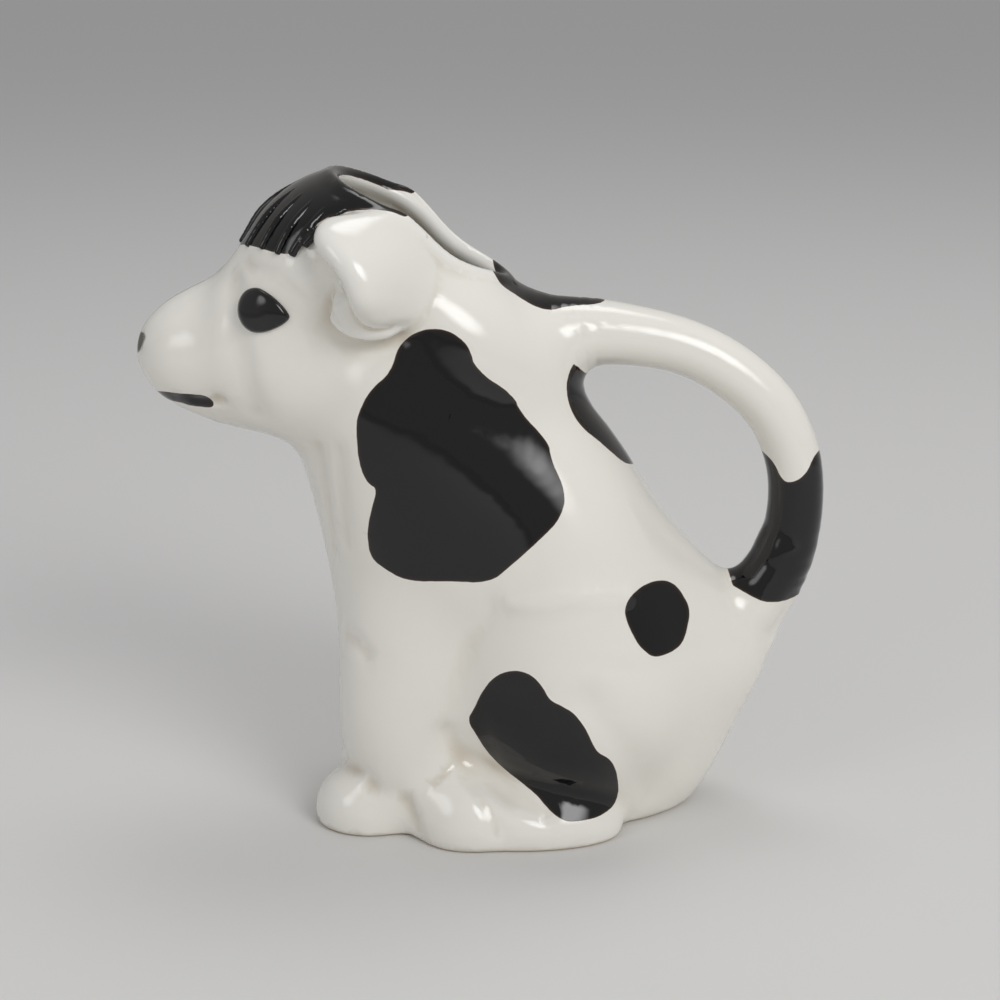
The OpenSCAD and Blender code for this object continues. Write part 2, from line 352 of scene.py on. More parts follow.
# Squared distance to the straight stretch from p to q
def stretchGap(x, y, z, p, q):
    u = q - p
    t = np.clip(((x - p[0]) * u[0] + (y - p[1]) * u[1] + (z - p[2]) * u[2]) / (u @ u + 1e-9), 0, 1)
    return (x - p[0] - t * u[0]) ** 2 + (y - p[1] - t * u[1]) ** 2 + (z - p[2] - t * u[2]) ** 2


def lipField(x, y, z):
    d = np.full(x.shape, 1e9)
    for p, q in zip(lipPoints, np.roll(lipPoints, -1, 0)):
        d = np.minimum(d, stretchGap(x, y, z, p, q))
    return np.sqrt(d) - mouth["lip"] / 2


# Creases (+) and ridges (-) of the modelling, as seen in the picture: points, depth, half width
creaseTable = [
    ([(345, 636), (355, 643), (366, 655)], 0.7, 2.2),
    ([(497, 606), (474, 640), (458, 672), (449, 705), (447, 733)], 0.5, 3.2),
    ([(447, 733), (461, 757), (480, 778), (504, 796), (545, 815)], 0.9, 2.2),
    ([(468, 778), (485, 801), (497, 833)], 0.6, 1.8),
    ([(434, 783), (443, 776), (451, 768)], 0.35, 1.0),
    ([(406, 800), (411, 812), (419, 832)], 0.6, 1.8),
    ([(510, 604), (570, 598), (626, 596)], -0.7, 2.4),
    ([(588, 704), (612, 733), (632, 764), (648, 795)], 0.9, 4.0),
    ([(343, 756), (358, 770), (372, 786)], 0.6, 2.0),
    ([(318, 450), (324, 490), (332, 550)], 0.7, 2.2),
    ([(337, 452), (341, 490), (346, 540)], 0.5, 2.2),
    ([(232, 282), (233, 310), (236, 340), (242, 374), (254, 410)], 1.0, 3.2),
    ([(246, 262), (256, 272), (284, 283), (300, 300)], 0.35, 1.6),
    ([(306, 247), (318, 276), (328, 300), (331, 322)], 1.3, 3.4),
    ([(322, 333), (345, 343), (370, 346), (398, 338)], 0.7, 3.0),
    ([(306, 240), (314, 226), (330, 215), (350, 209)], 0.6, 1.1),
    ([(153, 391), (175, 396), (195, 400), (213, 402)], 0.5, 1.1),
    ([(217, 400), (221, 401)], 0.9, 1.6),
    ([(141, 336), (140, 346)], 0.6, 1.0),
]
creases = [(throughPoints(onSkin(points), 4), depth, width) for points, depth, width in creaseTable]


def inBox(x, y, z, low, high):
    return (x > low[0]) & (x < high[0]) & (y > low[1]) & (y < high[1]) & (z > low[2]) & (z < high[2])


def creaseField(x, y, z):
    side = -np.abs(y)
    out = np.zeros(x.shape)
    for line, depth, width in creases:
        low, high = line.min(0) - 3 * width, line.max(0) + 3 * width
        near = inBox(x, side, z, low, high)
        if not near.any():
            continue
        px, py, pz = x[near], side[near], z[near]
        d = np.full(px.shape, 1e9)
        for p, q in zip(line[:-1], line[1:]):
            d = np.minimum(d, stretchGap(px, py, pz, p, q))
        out[near] += depth * np.exp(-d / width**2)
    return out


earLow = np.min([points.min(0) for points, _ in earParts], 0) - ear["margin"]
earHigh = np.max([points.max(0) for points, _ in earParts], 0) + ear["margin"]


def nearEar(x, y, z):
    return inBox(x, -np.abs(y), z, earLow, earHigh)


def outsideField(x, y, z, skin):
    d = skin + creaseField(x, y, z)
    behind, within, above = tail["zone"]
    near = (x > behind) & (np.abs(y) < within) & (z > above)
    if near.any():
        d[near] = softMin(d[near], tailField(x[near], y[near], z[near]), tail["blend"])
    near = nearEar(x, y, z)
    if near.any():
        d[near] = softMin(d[near], earField(x[near], y[near], z[near]), ear["blend"])
    return d


# The clay of the jug: the outside less the cavity, its two mouths and the recess of the foot, with the lip
def jugField(x, y, z):
    soft = calf["soften"]
    skin = skinField(x, y, z)
    d = softMax(outsideField(x, y, z, skin), calf["standing"] - z, soft["foot"])
    floor = calf["wall"] + calf["footRecess"]
    inner = softMax(skin + calf["wall"], floor - z, soft["cavityFloor"])
    high = z > mouth["floor"] * calf["size"][2]
    if high.any():
        inner[high] = softMin(inner[high], mouthField(x[high], y[high]), soft["mouth"])
    snout = x < mouth["pourEnd"] * calf["size"][0] + mouth["pourOverlap"]
    if snout.any():
        bore = np.sqrt(y[snout] ** 2 + (z[snout] - mouth["pourHeight"] * calf["size"][2]) ** 2)
        inner[snout] = softMin(inner[snout], bore - mouth["pourBore"] / 2, soft["bore"])
    d = softMax(d, -inner, soft["rim"])
    low = z < calf["footZone"]
    if low.any():
        recess = np.maximum(skin[low] + calf["footRing"], z[low] - calf["footRecess"])
        d[low] = softMax(d[low], -recess, soft["recess"])
    front, rear, within, above, reach = mouth["zone"]
    near = (x > front) & (x < rear) & (np.abs(y) < within) & (z > above)
    near &= np.abs(skin + calf["wall"] / 2) < reach
    if near.any():
        d[near] = softMin(d[near], lipField(x[near], y[near], z[near]), soft["lip"])
    return d


# The mesh where a field is zero, worked out a few layers at a time
def surface(field, low, high, cell, merge, layers=4, threads=4):
    low, high = np.array(low, float), np.array(high, float)
    axes = [np.arange(a, b + cell, cell) for a, b in zip(low, high)]
    values = np.empty([len(a) for a in axes], np.float32)

    def slab(i):
        x, y, z = np.meshgrid(axes[0][i:i + layers], axes[1], axes[2], indexing="ij")
        values[i:i + layers] = field(x.ravel(), y.ravel(), z.ravel()).reshape(x.shape)

    with ThreadPoolExecutor(threads) as pool:
        list(pool.map(slab, range(0, len(axes[0]), layers)))
    grid = openvdb.FloatGrid()
    grid.copyFromArray(values)
    points, triangles, quads = grid.convertToPolygons(isovalue=0.0, adaptivity=merge)
    points = points.astype(float) * cell + low
    return points, triangles, quads


def slopes(field, points, step=0.12):
    out = np.empty_like(points)
    for k in range(3):
        shift = np.zeros(3)
        shift[k] = step
        out[:, k] = field(*(points + shift).T) - field(*(points - shift).T)
    return out / (2 * step)


# Moves the points onto the field's zero, and gives the directions in which they face
def settle(field, points, rounds=2):
    for _ in range(rounds):
        g = slopes(field, points)
        points = points - (field(*points.T) / np.maximum((g * g).sum(1), 0.2))[:, None] * g
    g = slopes(field, points)
    return points, g / np.linalg.norm(g, axis=1)[:, None]


# How deep a point sits among its neighbours: the ivory gets painted shade where this is high, and painted
# light where it is low
def hollowness(field, points, step=2.0):
    total = -6 * field(*points.T)
    for k in range(3):
        shift = np.zeros(3)
        shift[k] = step
        total += field(*(points + shift).T) + field(*(points - shift).T)
    return -total / step**2


# Painted patches, as closed brush outlines in the picture; the far side has its own
brush = {
    "crown": [(222, 250), (241, 244), (258, 247), (278, 254), (298, 254), (303, 242), (312, 227), (328, 217),
              (349, 211), (371, 209), (388, 211), (398, 214), (407, 218), (412, 208), (418, 199), (400, 150),
              (330, 140), (240, 150), (205, 200)],
    "shoulder": [(439, 328), (416, 331), (398, 346), (391, 372), (370, 390), (358, 413), (356, 431),
                 (359, 466), (368, 484), (378, 489), (368, 520), (368, 550), (377, 565), (408, 582),
                 (446, 581), (489, 583), (511, 566), (547, 533), (557, 523), (565, 505), (563, 485),
                 (551, 459), (548, 441), (520, 412), (514, 395), (475, 370), (470, 348), (456, 334)],
    "spot": [(631, 595), (645, 584), (659, 580), (673, 582), (683, 594), (690, 608), (688, 628), (682, 644),
             (671, 653), (655, 658), (645, 652), (635, 640), (627, 622), (624, 608)],
    "haunch": [(467, 721), (474, 708), (484, 688), (498, 674), (514, 670), (529, 673), (541, 684), (549, 700),
               (562, 706), (574, 713), (587, 731), (596, 752), (608, 757), (616, 768), (619, 788), (616, 804),
               (605, 813), (594, 819), (573, 822), (561, 820), (548, 809), (535, 793), (514, 777), (498, 763),
               (487, 752), (478, 737)],
    "rimRear": [(484, 256), (490, 266), (496, 277), (502, 286), (514, 294), (532, 305), (549, 311),
                (566, 306), (602, 304), (608, 296), (600, 280), (540, 262), (500, 245)],
    "back": [(584, 355), (570, 366), (565, 392), (576, 423), (606, 447), (630, 468), (645, 455), (600, 365)],
    "tuft": [(756, 446), (765, 453), (774, 462), (783, 482), (795, 482), (806, 474), (814, 455), (830, 440),
             (840, 500), (825, 570), (797, 598), (769, 604), (746, 594), (716, 574), (733, 560), (752, 520),
             (757, 480)],
    "mouthLine": [(150, 391), (160, 391), (175, 393), (190, 394), (204, 395), (214, 401), (213, 408),
                  (200, 407), (188, 405), (178, 401.5), (166, 400), (150, 399)],
    "nostril": [(142, 331), (146, 336), (143, 343), (139, 353), (132, 352), (132, 334)],
    "farFlank": [(452, 416), (480, 404), (512, 414), (534, 446), (562, 470), (570, 508), (548, 540),
                 (505, 552), (466, 540), (444, 506), (436, 455)],
    "farThigh": [(536, 668), (562, 650), (596, 652), (622, 676), (640, 716), (634, 752), (606, 770),
                 (572, 762), (550, 738), (532, 706)],
    "farNeck": [(352, 372), (376, 358), (400, 372), (408, 402), (392, 428), (362, 426), (344, 400)],
}
middleStrokes = ["crown", "rimRear", "back", "mouthLine", "tuft"]
nearStrokes = ["shoulder", "spot", "haunch"]
farStrokes = ["farFlank", "farThigh", "farNeck"]
paint = {
    "unpainted": 20.0,  # distance that stands for no paint near
    "window": 40,  # pixels round a stroke in which its distance is worked out
    "offTail": 1.0,  # the stroke on the back keeps this far from the tail
    "onTail": 1.6,  # the tuft ends this far from it
    "inside": 2.0,  # how deep below the skin paint may lie, as on the rim
}


# Cuts the corners off a closed outline
def rounded(points, rounds=2):
    p = np.array(points, float)
    for _ in range(rounds):
        q = np.roll(p, -1, 0)
        p = np.stack([p * 0.75 + q * 0.25, p * 0.25 + q * 0.75], 1).reshape(-1, 2)
    return p


def strokeDistance(u, v, scale, name):
    line = rounded(brush[name])
    out = np.full(u.shape, paint["unpainted"])
    low, high = line.min(0) - paint["window"], line.max(0) + paint["window"]
    near = (u > low[0]) & (u < high[0]) & (v > low[1]) & (v < high[1])
    un, vn = u[near], v[near]
    d = np.full(un.shape, 1e9)
    inside = np.zeros(un.shape, bool)
    for (ax, ay), (bx, by) in zip(line, np.roll(line, -1, 0)):
        ex, ey = bx - ax, by - ay
        t = np.clip(((un - ax) * ex + (vn - ay) * ey) / (ex * ex + ey * ey + 1e-9), 0, 1)
        d = np.minimum(d, (un - ax - t * ex) ** 2 + (vn - ay - t * ey) ** 2)
        inside ^= ((ay > vn) != (by > vn)) & (un < (bx - ax) * (vn - ay) / (by - ay + 1e-12) + ax)
    out[near] = np.where(inside, -1, 1) * np.sqrt(d) / scale[near]
    return out


# Distance to the nearest brush outline in millimetres, less than zero on the paint
def paintDistance(points, names):
    near = points.copy()
    near[:, 1] = -np.abs(near[:, 1])
    u, v, scale = toPicture(near)
    x, y, z = points.T
    toTail = tailField(x, y, z)
    out = np.full(len(points), paint["unpainted"])
    for name in names:
        d = strokeDistance(u, v, scale, name)
        if name in nearStrokes:
            d = np.where(y > 0, paint["unpainted"], d)
        if name in farStrokes:
            d = np.where(y < 0, paint["unpainted"], d)
        if name == "back":
            d = np.maximum(d, paint["offTail"] - toTail)
        if name == "tuft":
            d = np.maximum(d, toTail - paint["onTail"])
        out = np.minimum(out, d)
    return np.maximum(out, -skinField(x, y, z) - paint["inside"])


# Meshes

def meshObject(name, points, faces, fields=None, normals=None):
    mesh = bpy.data.meshes.new(name)
    mesh.from_pydata((points * mm).tolist(), [], faces)
    for key, values in (fields or {}).items():
        layer = mesh.attributes.new(key, "FLOAT", "POINT")
        layer.data.foreach_set("value", np.asarray(values, np.float32))
    mesh.polygons.foreach_set("use_smooth", np.ones(len(mesh.polygons), bool))
    if normals is not None:
        mesh.normals_split_custom_set_from_vertices(normals.tolist())
    mesh.update()
    obj = bpy.data.objects.new(name, mesh)
    bpy.context.scene.collection.objects.link(obj)
    return obj


# Where two pieces part, each is closed by fans to one hidden point inside the wall
def fans(points, faces):
    edges = {(a, b) for f in faces for a, b in zip(f, f[1:] + f[:1])}
    rim = sorted((a, b) for a, b in edges if (b, a) not in edges)
    group = {}

    def top(i):
        while group.setdefault(i, i) != i:
            i = group[i]
        return i

    for a, b in rim:
        group[top(a)] = top(b)
    loops = {}
    for a, b in rim:
        loops.setdefault(top(a), []).append((a, b))
    extra, caps = [], []
    for loop in loops.values():
        centre = points[[a for a, b in loop]].mean(0)[None]
        centre = centre - (skinField(*centre.T) + calf["wall"] / 2)[:, None] * slopes(skinField, centre)
        caps += [(b, a, len(points) + len(extra)) for a, b in loop]
        extra.append(centre[0])
    return np.array(extra).reshape(-1, 3), caps


# Adds points where an edge is long and a brush outline may cross it
def refine(points, triangles, quads, names, longest=0.5, rounds=3):
    mesh = bpy.data.meshes.new("work")
    mesh.from_pydata(points.tolist(), [], triangles.tolist() + quads.tolist())
    work = bmesh.new()
    work.from_mesh(mesh)
    for _ in range(rounds):
        work.verts.index_update()
        place = np.array([v.co for v in work.verts])
        far = np.abs(paintDistance(place, names))
        ends = np.array([(e.verts[0].index, e.verts[1].index) for e in work.edges])
        size = np.linalg.norm(place[ends[:, 0]] - place[ends[:, 1]], axis=1)
        chosen = (size > longest) & (far[ends].min(1) < size * 0.75)
        edges = [e for e, c in zip(work.edges, chosen) if c]
        bmesh.ops.subdivide_edges(work, edges=edges, cuts=1)
        bmesh.ops.triangulate(work, faces=[f for f in work.faces if len(f.verts) > 4])
    work.to_mesh(mesh)
    work.free()
    place = np.array([v.co for v in mesh.vertices])
    sides = [tuple(f.vertices) for f in mesh.polygons]
    bpy.data.meshes.remove(mesh)
    return (place, np.array([f for f in sides if len(f) == 3]).reshape(-1, 3),
            np.array([f for f in sides if len(f) == 4]).reshape(-1, 4))


# The points that the chosen faces use, and those faces numbered anew
def takePart(faces, points, chosen):
    used = np.unique(np.concatenate([faces[0][chosen[0]].ravel(), faces[1][chosen[1]].ravel()]))
    where = np.full(len(points), -1)
    where[used] = np.arange(len(used))
    rows = where[faces[0][chosen[0]]].tolist() + where[faces[1][chosen[1]]].tolist()
    return used, rows


def makeJug():
    points, triangles, quads = surface(jugField, *calf["box"], calf["cell"], calf["merge"])
    print("jug surface", len(points), len(triangles), len(quads))
    strokes = middleStrokes + nearStrokes + farStrokes
    points, triangles, quads = refine(points, triangles, quads, strokes + ["nostril"])
    points, normals = settle(jugField, points)
    points = np.clip(points, [v / mm for v in cadBounds[0]], [v / mm for v in cadBounds[1]])
    print("jug surface, refined", len(points), len(triangles), len(quads))
    x, y, z = points.T
    skin = skinField(x, y, z)
    # pool holds the hollowness, which sets painted shade in hollows and painted light on ridges
    fields = {"pool": np.clip(hollowness(jugField, points), -1, 1), "paint": paintDistance(points, strokes),
              "nostril": paintDistance(points, ["nostril"])}
    behind, above = tail["ownZone"]
    isTail = (x > behind) & (z > above) & (tailField(x, y, z) < skin - calf["parting"])
    isEar = nearEar(x, y, z) & (skin > ear["proud"])
    isEar[isEar] = earField(x[isEar], y[isEar], z[isEar]) < skin[isEar] - calf["parting"]
    part = np.where(isTail, 1, 0) + np.where(isEar & (y < 0), 2, 0) + np.where(isEar & (y > 0), 3, 0)
    faces = [triangles, quads]
    facePart = [np.max(part[f], axis=1) for f in faces]
    made = {}
    for i, name in enumerate(["bodyShell", "tailHandle", "leftEar", "rightEar"]):
        used, rows = takePart(faces, points, [p == i for p in facePart])
        extra, caps = fans(points[used], rows)
        place = np.concatenate([points[used], extra])
        level = {k: np.concatenate([v[used], np.zeros(len(extra))]) for k, v in fields.items()}
        facing = np.concatenate([normals[used], np.tile([0, 0, 1.0], (len(extra), 1))])
        made[name] = meshObject(name, place, rows + caps, level, facing)
        print(name, len(rows), len(caps), len(extra))
    return made


# An eye is a pellet with an egg outline that bulges from the face
eye = {
    "place": (-0.3015, 0.8115),  # shares of the length and the height
    "length": 10.8,
    "height": 8.8,
    "rim": 0.25,  # how far its edge stands off the skin
    "bulge": 1.7,
    "dome": 2.4,
    "sunk": 1.0,
    "taper": 0.2,
    "tilt": 9.0,
    "point": 0.3,  # how sharp its corner towards the ear is
    "pointReach": 0.6,
    "rings": 10,
    "spokes": 48,
}


def makeEye(name, side):
    points, faces = [], []
    tilt = math.radians(eye["tilt"])
    turn = np.linspace(-math.pi, math.pi, eye["spokes"], endpoint=False)
    sharpEnd = np.minimum(np.abs(turn) / (eye["pointReach"] * math.pi), 1) ** eye["point"]
    for layer in (1, 0):
        for ring in range(eye["rings"], 0, -1) if layer == 0 else range(1, eye["rings"] + 1):
            r = ring / eye["rings"]
            u = r * eye["length"] / 2 * np.cos(turn)
            w = r * eye["height"] / 2 * np.sin(turn) * (1 - eye["taper"] * np.cos(turn)) * sharpEnd
            x = eye["place"][0] * calf["size"][0] + u * math.cos(tilt) + w * math.sin(tilt)
            z = eye["place"][1] * calf["size"][2] + w * math.cos(tilt) - u * math.sin(tilt)
            p = onSide(x, z)
            height = eye["rim"] + (eye["bulge"] - eye["rim"]) * math.sqrt(max(0.0, 1 - r ** eye["dome"]))
            p[:, 1] -= height if layer else -eye["sunk"]
            points.append(p)
    rings = len(points)
    points = np.concatenate(points)
    n = eye["spokes"]
    for i in range(rings - 1):
        for j in range(n):
            k = (j + 1) % n
            faces.append((i * n + j, i * n + k, (i + 1) * n + k, (i + 1) * n + j))
    faces.append(tuple(range(n))[::-1])
    faces.append(tuple((rings - 1) * n + j for j in range(n)))
    if side > 0:
        points[:, 1] *= -1
    obj = meshObject(name, points, faces)
    work = bmesh.new()
    work.from_mesh(obj.data)
    bmesh.ops.recalc_face_normals(work, faces=work.faces)
    work.to_mesh(obj.data)
    work.free()
    return obj


# The forelock: strands that run forward from the crown and hang over the brow. The fringe is the line of
# their ends on the near side, from the middle of the brow to the ear.
hair = {
    "fringe": [(245, 247), (256, 248), (269, 252), (282, 256), (293, 256), (303, 246)],
    "middle": (-0.349, 0.889),  # shares of the length and the height
    "root": (-0.205, 0.843),
    "strands": 11,
    "spread": 52.0,  # degrees round the mouth, to either side
    "gap": 3.2,
    "points": 16,
    "radius": (1.7, 2.35),  # on the crown and over the brow
    "proud": (0.4, 2.2),
    "full": 0.6,  # share of its run after which a strand is at its thickest
    "tip": (0.86, 0.155),  # where its end starts to round off, and over what share
    "finest": 0.3,
    "sides": 14,
    "cell": 0.36,
}


def strandCurves():
    curve = bpy.data.curves.new("strands", "CURVE")
    curve.dimensions = "3D"
    root = np.array([hair["root"][0] * calf["size"][0], 0, hair["root"][1] * calf["size"][2]])
    middle = [[hair["middle"][0] * calf["size"][0], 0, hair["middle"][1] * calf["size"][2]]]
    fringe = np.concatenate([middle, onSkin(hair["fringe"])])
    share = np.linspace(0, 1, len(fringe))
    s = np.linspace(0, 1, hair["points"])
    for across in np.linspace(-1, 1, hair["strands"]):
        x, y = mouthEdge(math.pi - math.radians(hair["spread"]) * abs(across), hair["gap"])
        start = march(np.array([[x, -y, root[2]]]), np.array([0, 0, 1.0]))[0]
        end = np.array([np.interp(abs(across), share, fringe[:, k]) for k in range(3)])
        way = start + (end - start) * s[:, None] - root
        if across > 0:
            way[:, 1] *= -1
        way /= np.linalg.norm(way, axis=1)[:, None]
        skin = march(np.repeat(root[None], len(s), 0), way)
        bulk = np.interp(s, (0, hair["full"], 1), (0, 1, 1))
        radius = hair["radius"][0] + (hair["radius"][1] - hair["radius"][0]) * bulk
        radius = radius * np.sqrt(1 - np.clip((s - hair["tip"][0]) / hair["tip"][1], 0, 1) ** 2)
        top = hair["proud"][0] + (hair["proud"][1] - hair["proud"][0]) * bulk
        p = skin + way * (top - hair["radius"][0] - (hair["radius"][1] - hair["radius"][0]) * bulk)[:, None]
        spline = curve.splines.new("POLY")
        spline.points.add(len(s) - 1)
        for point, place, r in zip(spline.points, p, radius):
            point.co = (*(place * mm), 1)
            point.radius = max(r, hair["finest"])
    obj = bpy.data.objects.new("strands", curve)
    bpy.context.scene.collection.objects.link(obj)
    return obj


def strandTree(material):
    tree = bpy.data.node_groups.new("meltedStrands", "GeometryNodeTree")
    tree.interface.new_socket("Strands", in_out="INPUT", socket_type="NodeSocketGeometry")
    tree.interface.new_socket("Unit radius", in_out="INPUT", socket_type="NodeSocketFloat")
    tree.interface.new_socket("Cell", in_out="INPUT", socket_type="NodeSocketFloat")
    tree.interface.new_socket("Sides", in_out="INPUT", socket_type="NodeSocketInt")
    tree.interface.new_socket("Hair", in_out="OUTPUT", socket_type="NodeSocketGeometry")
    new, link = tree.nodes.new, tree.links.new
    start, end = new("NodeGroupInput"), new("NodeGroupOutput")
    circle = new("GeometryNodeCurvePrimitiveCircle")
    sweep = new("GeometryNodeCurveToMesh")
    sweep.inputs["Fill Caps"].default_value = True
    fill = new("GeometryNodeMeshToVolume")
    fill.resolution_mode = "VOXEL_SIZE"
    melt = new("GeometryNodeVolumeToMesh")
    melt.resolution_mode = "VOXEL_SIZE"
    smooth = new("GeometryNodeSetShadeSmooth")
    real = new("GeometryNodeRealizeInstances")
    finish = new("GeometryNodeSetMaterial")
    finish.inputs["Material"].default_value = material
    link(start.outputs["Strands"], sweep.inputs["Curve"])
    link(start.outputs["Unit radius"], circle.inputs["Radius"])
    link(start.outputs["Sides"], circle.inputs["Resolution"])
    link(circle.outputs["Curve"], sweep.inputs["Profile Curve"])
    link(sweep.outputs["Mesh"], fill.inputs["Mesh"])
    link(start.outputs["Cell"], fill.inputs["Voxel Size"])
    link(start.outputs["Cell"], melt.inputs["Voxel Size"])
    link(fill.outputs["Volume"], melt.inputs["Volume"])
    link(melt.outputs["Mesh"], smooth.inputs["Geometry"])
    link(smooth.outputs["Geometry"], real.inputs["Geometry"])
    link(real.outputs["Geometry"], finish.inputs["Geometry"])
    link(finish.outputs["Geometry"], end.inputs["Hair"])
    return tree


def makeForelock(material):
    strands = strandCurves()
    modifier = strands.modifiers.new("melt", "NODES")
    tree = strandTree(material)
    modifier.node_group = tree
    ids = {s.name: s.identifier for s in tree.interface.items_tree if s.in_out == "INPUT"}
    modifier[ids["Unit radius"]] = mm
    modifier[ids["Cell"]] = hair["cell"] * mm
    modifier[ids["Sides"]] = hair["sides"]
    ready = strands.evaluated_get(bpy.context.evaluated_depsgraph_get())
    mesh = bpy.data.meshes.new_from_object(ready)
    bpy.data.objects.remove(strands)
    mesh.name = "forelock"
    obj = bpy.data.objects.new("forelock", mesh)
    bpy.context.scene.collection.objects.link(obj)
    print("forelock", len(mesh.polygons))
    return obj


# Glazes: colours are linear
glaze = {
    "ivory": (0.85, 0.825, 0.755),
    # the colour of hollows and creases, as painted shade
    "paintedHollowShade": (0.66, 0.59, 0.48),
    # the lighter colour of ridges and bulges, as painted light
    "thin": (0.90, 0.885, 0.84),
    "black": (0.0045, 0.004, 0.0045),
    "thinBlack": (0.030, 0.014, 0.008),
    "nostril": (0.12, 0.12, 0.10),
    "bisque": (0.72, 0.64, 0.52),
    "gloss": 0.06,
    "blackGloss": 0.045,
    "index": 1.52,  # of refraction
    "ripple": 0.10,  # strength of the waves in the gloss
    "rippleHeight": 0.004,
    "waves": 28.0,  # waves to the metre, at their broadest
    "finer": (4.0, 0.25),  # the small waves: how much finer, and how much weaker
    "tone": 0.10,
    "wobble": 0.35,  # unsteadiness of the brush, in millimetres
    "wobbles": 260.0,
    "edge": 0.07,
    "thinEdge": -0.7,
    "paintedHollowShadeRange": (0.02, 0.55),  # hollowness from and to which the colour deepens into painted shade
    # hollowness from and to which the colour lightens into painted light on ridges
    "paintedRidgeLightRange": (-0.12, -0.9),
    "blackRange": (0.62, 0.72),
    "blackLift": 3,
    "nostrilRange": (0.25, -0.15),
    "bareRange": (0.0011, 0.0005),  # heights between which the foot is wiped bare
    "bareRoughness": 0.75,
}


def waveGroup():
    group = bpy.data.node_groups.new("glazeWaves", "ShaderNodeTree")
    face = group.interface
    face.new_socket("Scale", in_out="INPUT", socket_type="NodeSocketFloat")
    face.new_socket("Height", in_out="OUTPUT", socket_type="NodeSocketFloat")
    face.new_socket("Tone", in_out="OUTPUT", socket_type="NodeSocketFloat")
    new, link = group.nodes.new, group.links.new
    start, end, place = new("NodeGroupInput"), new("NodeGroupOutput"), new("ShaderNodeTexCoord")
    broad, fine, both = new("ShaderNodeTexNoise"), new("ShaderNodeTexNoise"), new("ShaderNodeMath")
    times = new("ShaderNodeMath")
    times.operation, times.inputs[1].default_value = "MULTIPLY", glaze["finer"][0]
    both.operation, both.inputs[1].default_value = "MULTIPLY_ADD", glaze["finer"][1]
    broad.inputs["Detail"].default_value = 1.0
    fine.inputs["Detail"].default_value = 2.0
    link(place.outputs["Object"], broad.inputs["Vector"])
    link(place.outputs["Object"], fine.inputs["Vector"])
    link(start.outputs["Scale"], broad.inputs["Scale"])
    link(start.outputs["Scale"], times.inputs[0])
    link(times.outputs[0], fine.inputs["Scale"])
    link(fine.outputs["Fac"], both.inputs[0])
    link(broad.outputs["Fac"], both.inputs[2])
    link(both.outputs[0], end.inputs["Height"])
    link(broad.outputs["Fac"], end.inputs["Tone"])
    return group


def brushGroup():
    group = bpy.data.node_groups.new("brushEdge", "ShaderNodeTree")
    face = group.interface
    face.new_socket("Distance", in_out="INPUT", socket_type="NodeSocketFloat")
    face.new_socket("Wobble", in_out="INPUT", socket_type="NodeSocketFloat")
    face.new_socket("Painted", in_out="OUTPUT", socket_type="NodeSocketFloat")
    face.new_socket("Thin", in_out="OUTPUT", socket_type="NodeSocketFloat")
    new, link = group.nodes.new, group.links.new
    start, end, place = new("NodeGroupInput"), new("NodeGroupOutput"), new("ShaderNodeTexCoord")
    noise, centre, add = new("ShaderNodeTexNoise"), new("ShaderNodeMath"), new("ShaderNodeMath")
    noise.inputs["Scale"].default_value = glaze["wobbles"]
    noise.inputs["Detail"].default_value = 2.0
    centre.operation, centre.inputs[1].default_value = "SUBTRACT", 0.5
    add.operation = "MULTIPLY_ADD"
    edge, thin = new("ShaderNodeMapRange"), new("ShaderNodeMapRange")
    for node, low, high in ((edge, glaze["edge"], -glaze["edge"]), (thin, glaze["thinEdge"], 0.0)):
        node.interpolation_type = "SMOOTHSTEP"
        node.inputs["From Min"].default_value = low
        node.inputs["From Max"].default_value = high
    link(place.outputs["Object"], noise.inputs["Vector"])
    link(noise.outputs["Fac"], centre.inputs[0])
    link(centre.outputs[0], add.inputs[0])
    link(start.outputs["Wobble"], add.inputs[1])
    link(start.outputs["Distance"], add.inputs[2])
    link(add.outputs[0], edge.inputs["Value"])
    link(add.outputs[0], thin.inputs["Value"])
    link(edge.outputs["Result"], end.inputs["Painted"])
    link(thin.outputs["Result"], end.inputs["Thin"])
    return group


# Colour a where the factor is 0 and b where it is 1; each is a colour or a socket
def mixColour(nodes, links, factor, a, b):
    node = nodes.new("ShaderNodeMix")
    node.data_type = "RGBA"
    links.new(factor, node.inputs["Factor"])
    for value, socket in ((a, node.inputs["A"]), (b, node.inputs["B"])):
        if isinstance(value, tuple):
            socket.default_value = (*value, 1)
        else:
            links.new(value, socket)
    return node.outputs["Result"]


# A value that runs from 0 to 1 over the range
def scaled(nodes, links, value, ends):
    node = nodes.new("ShaderNodeMapRange")
    node.inputs["From Min"].default_value, node.inputs["From Max"].default_value = ends
    links.new(value, node.inputs["Value"])
    return node.outputs["Result"]
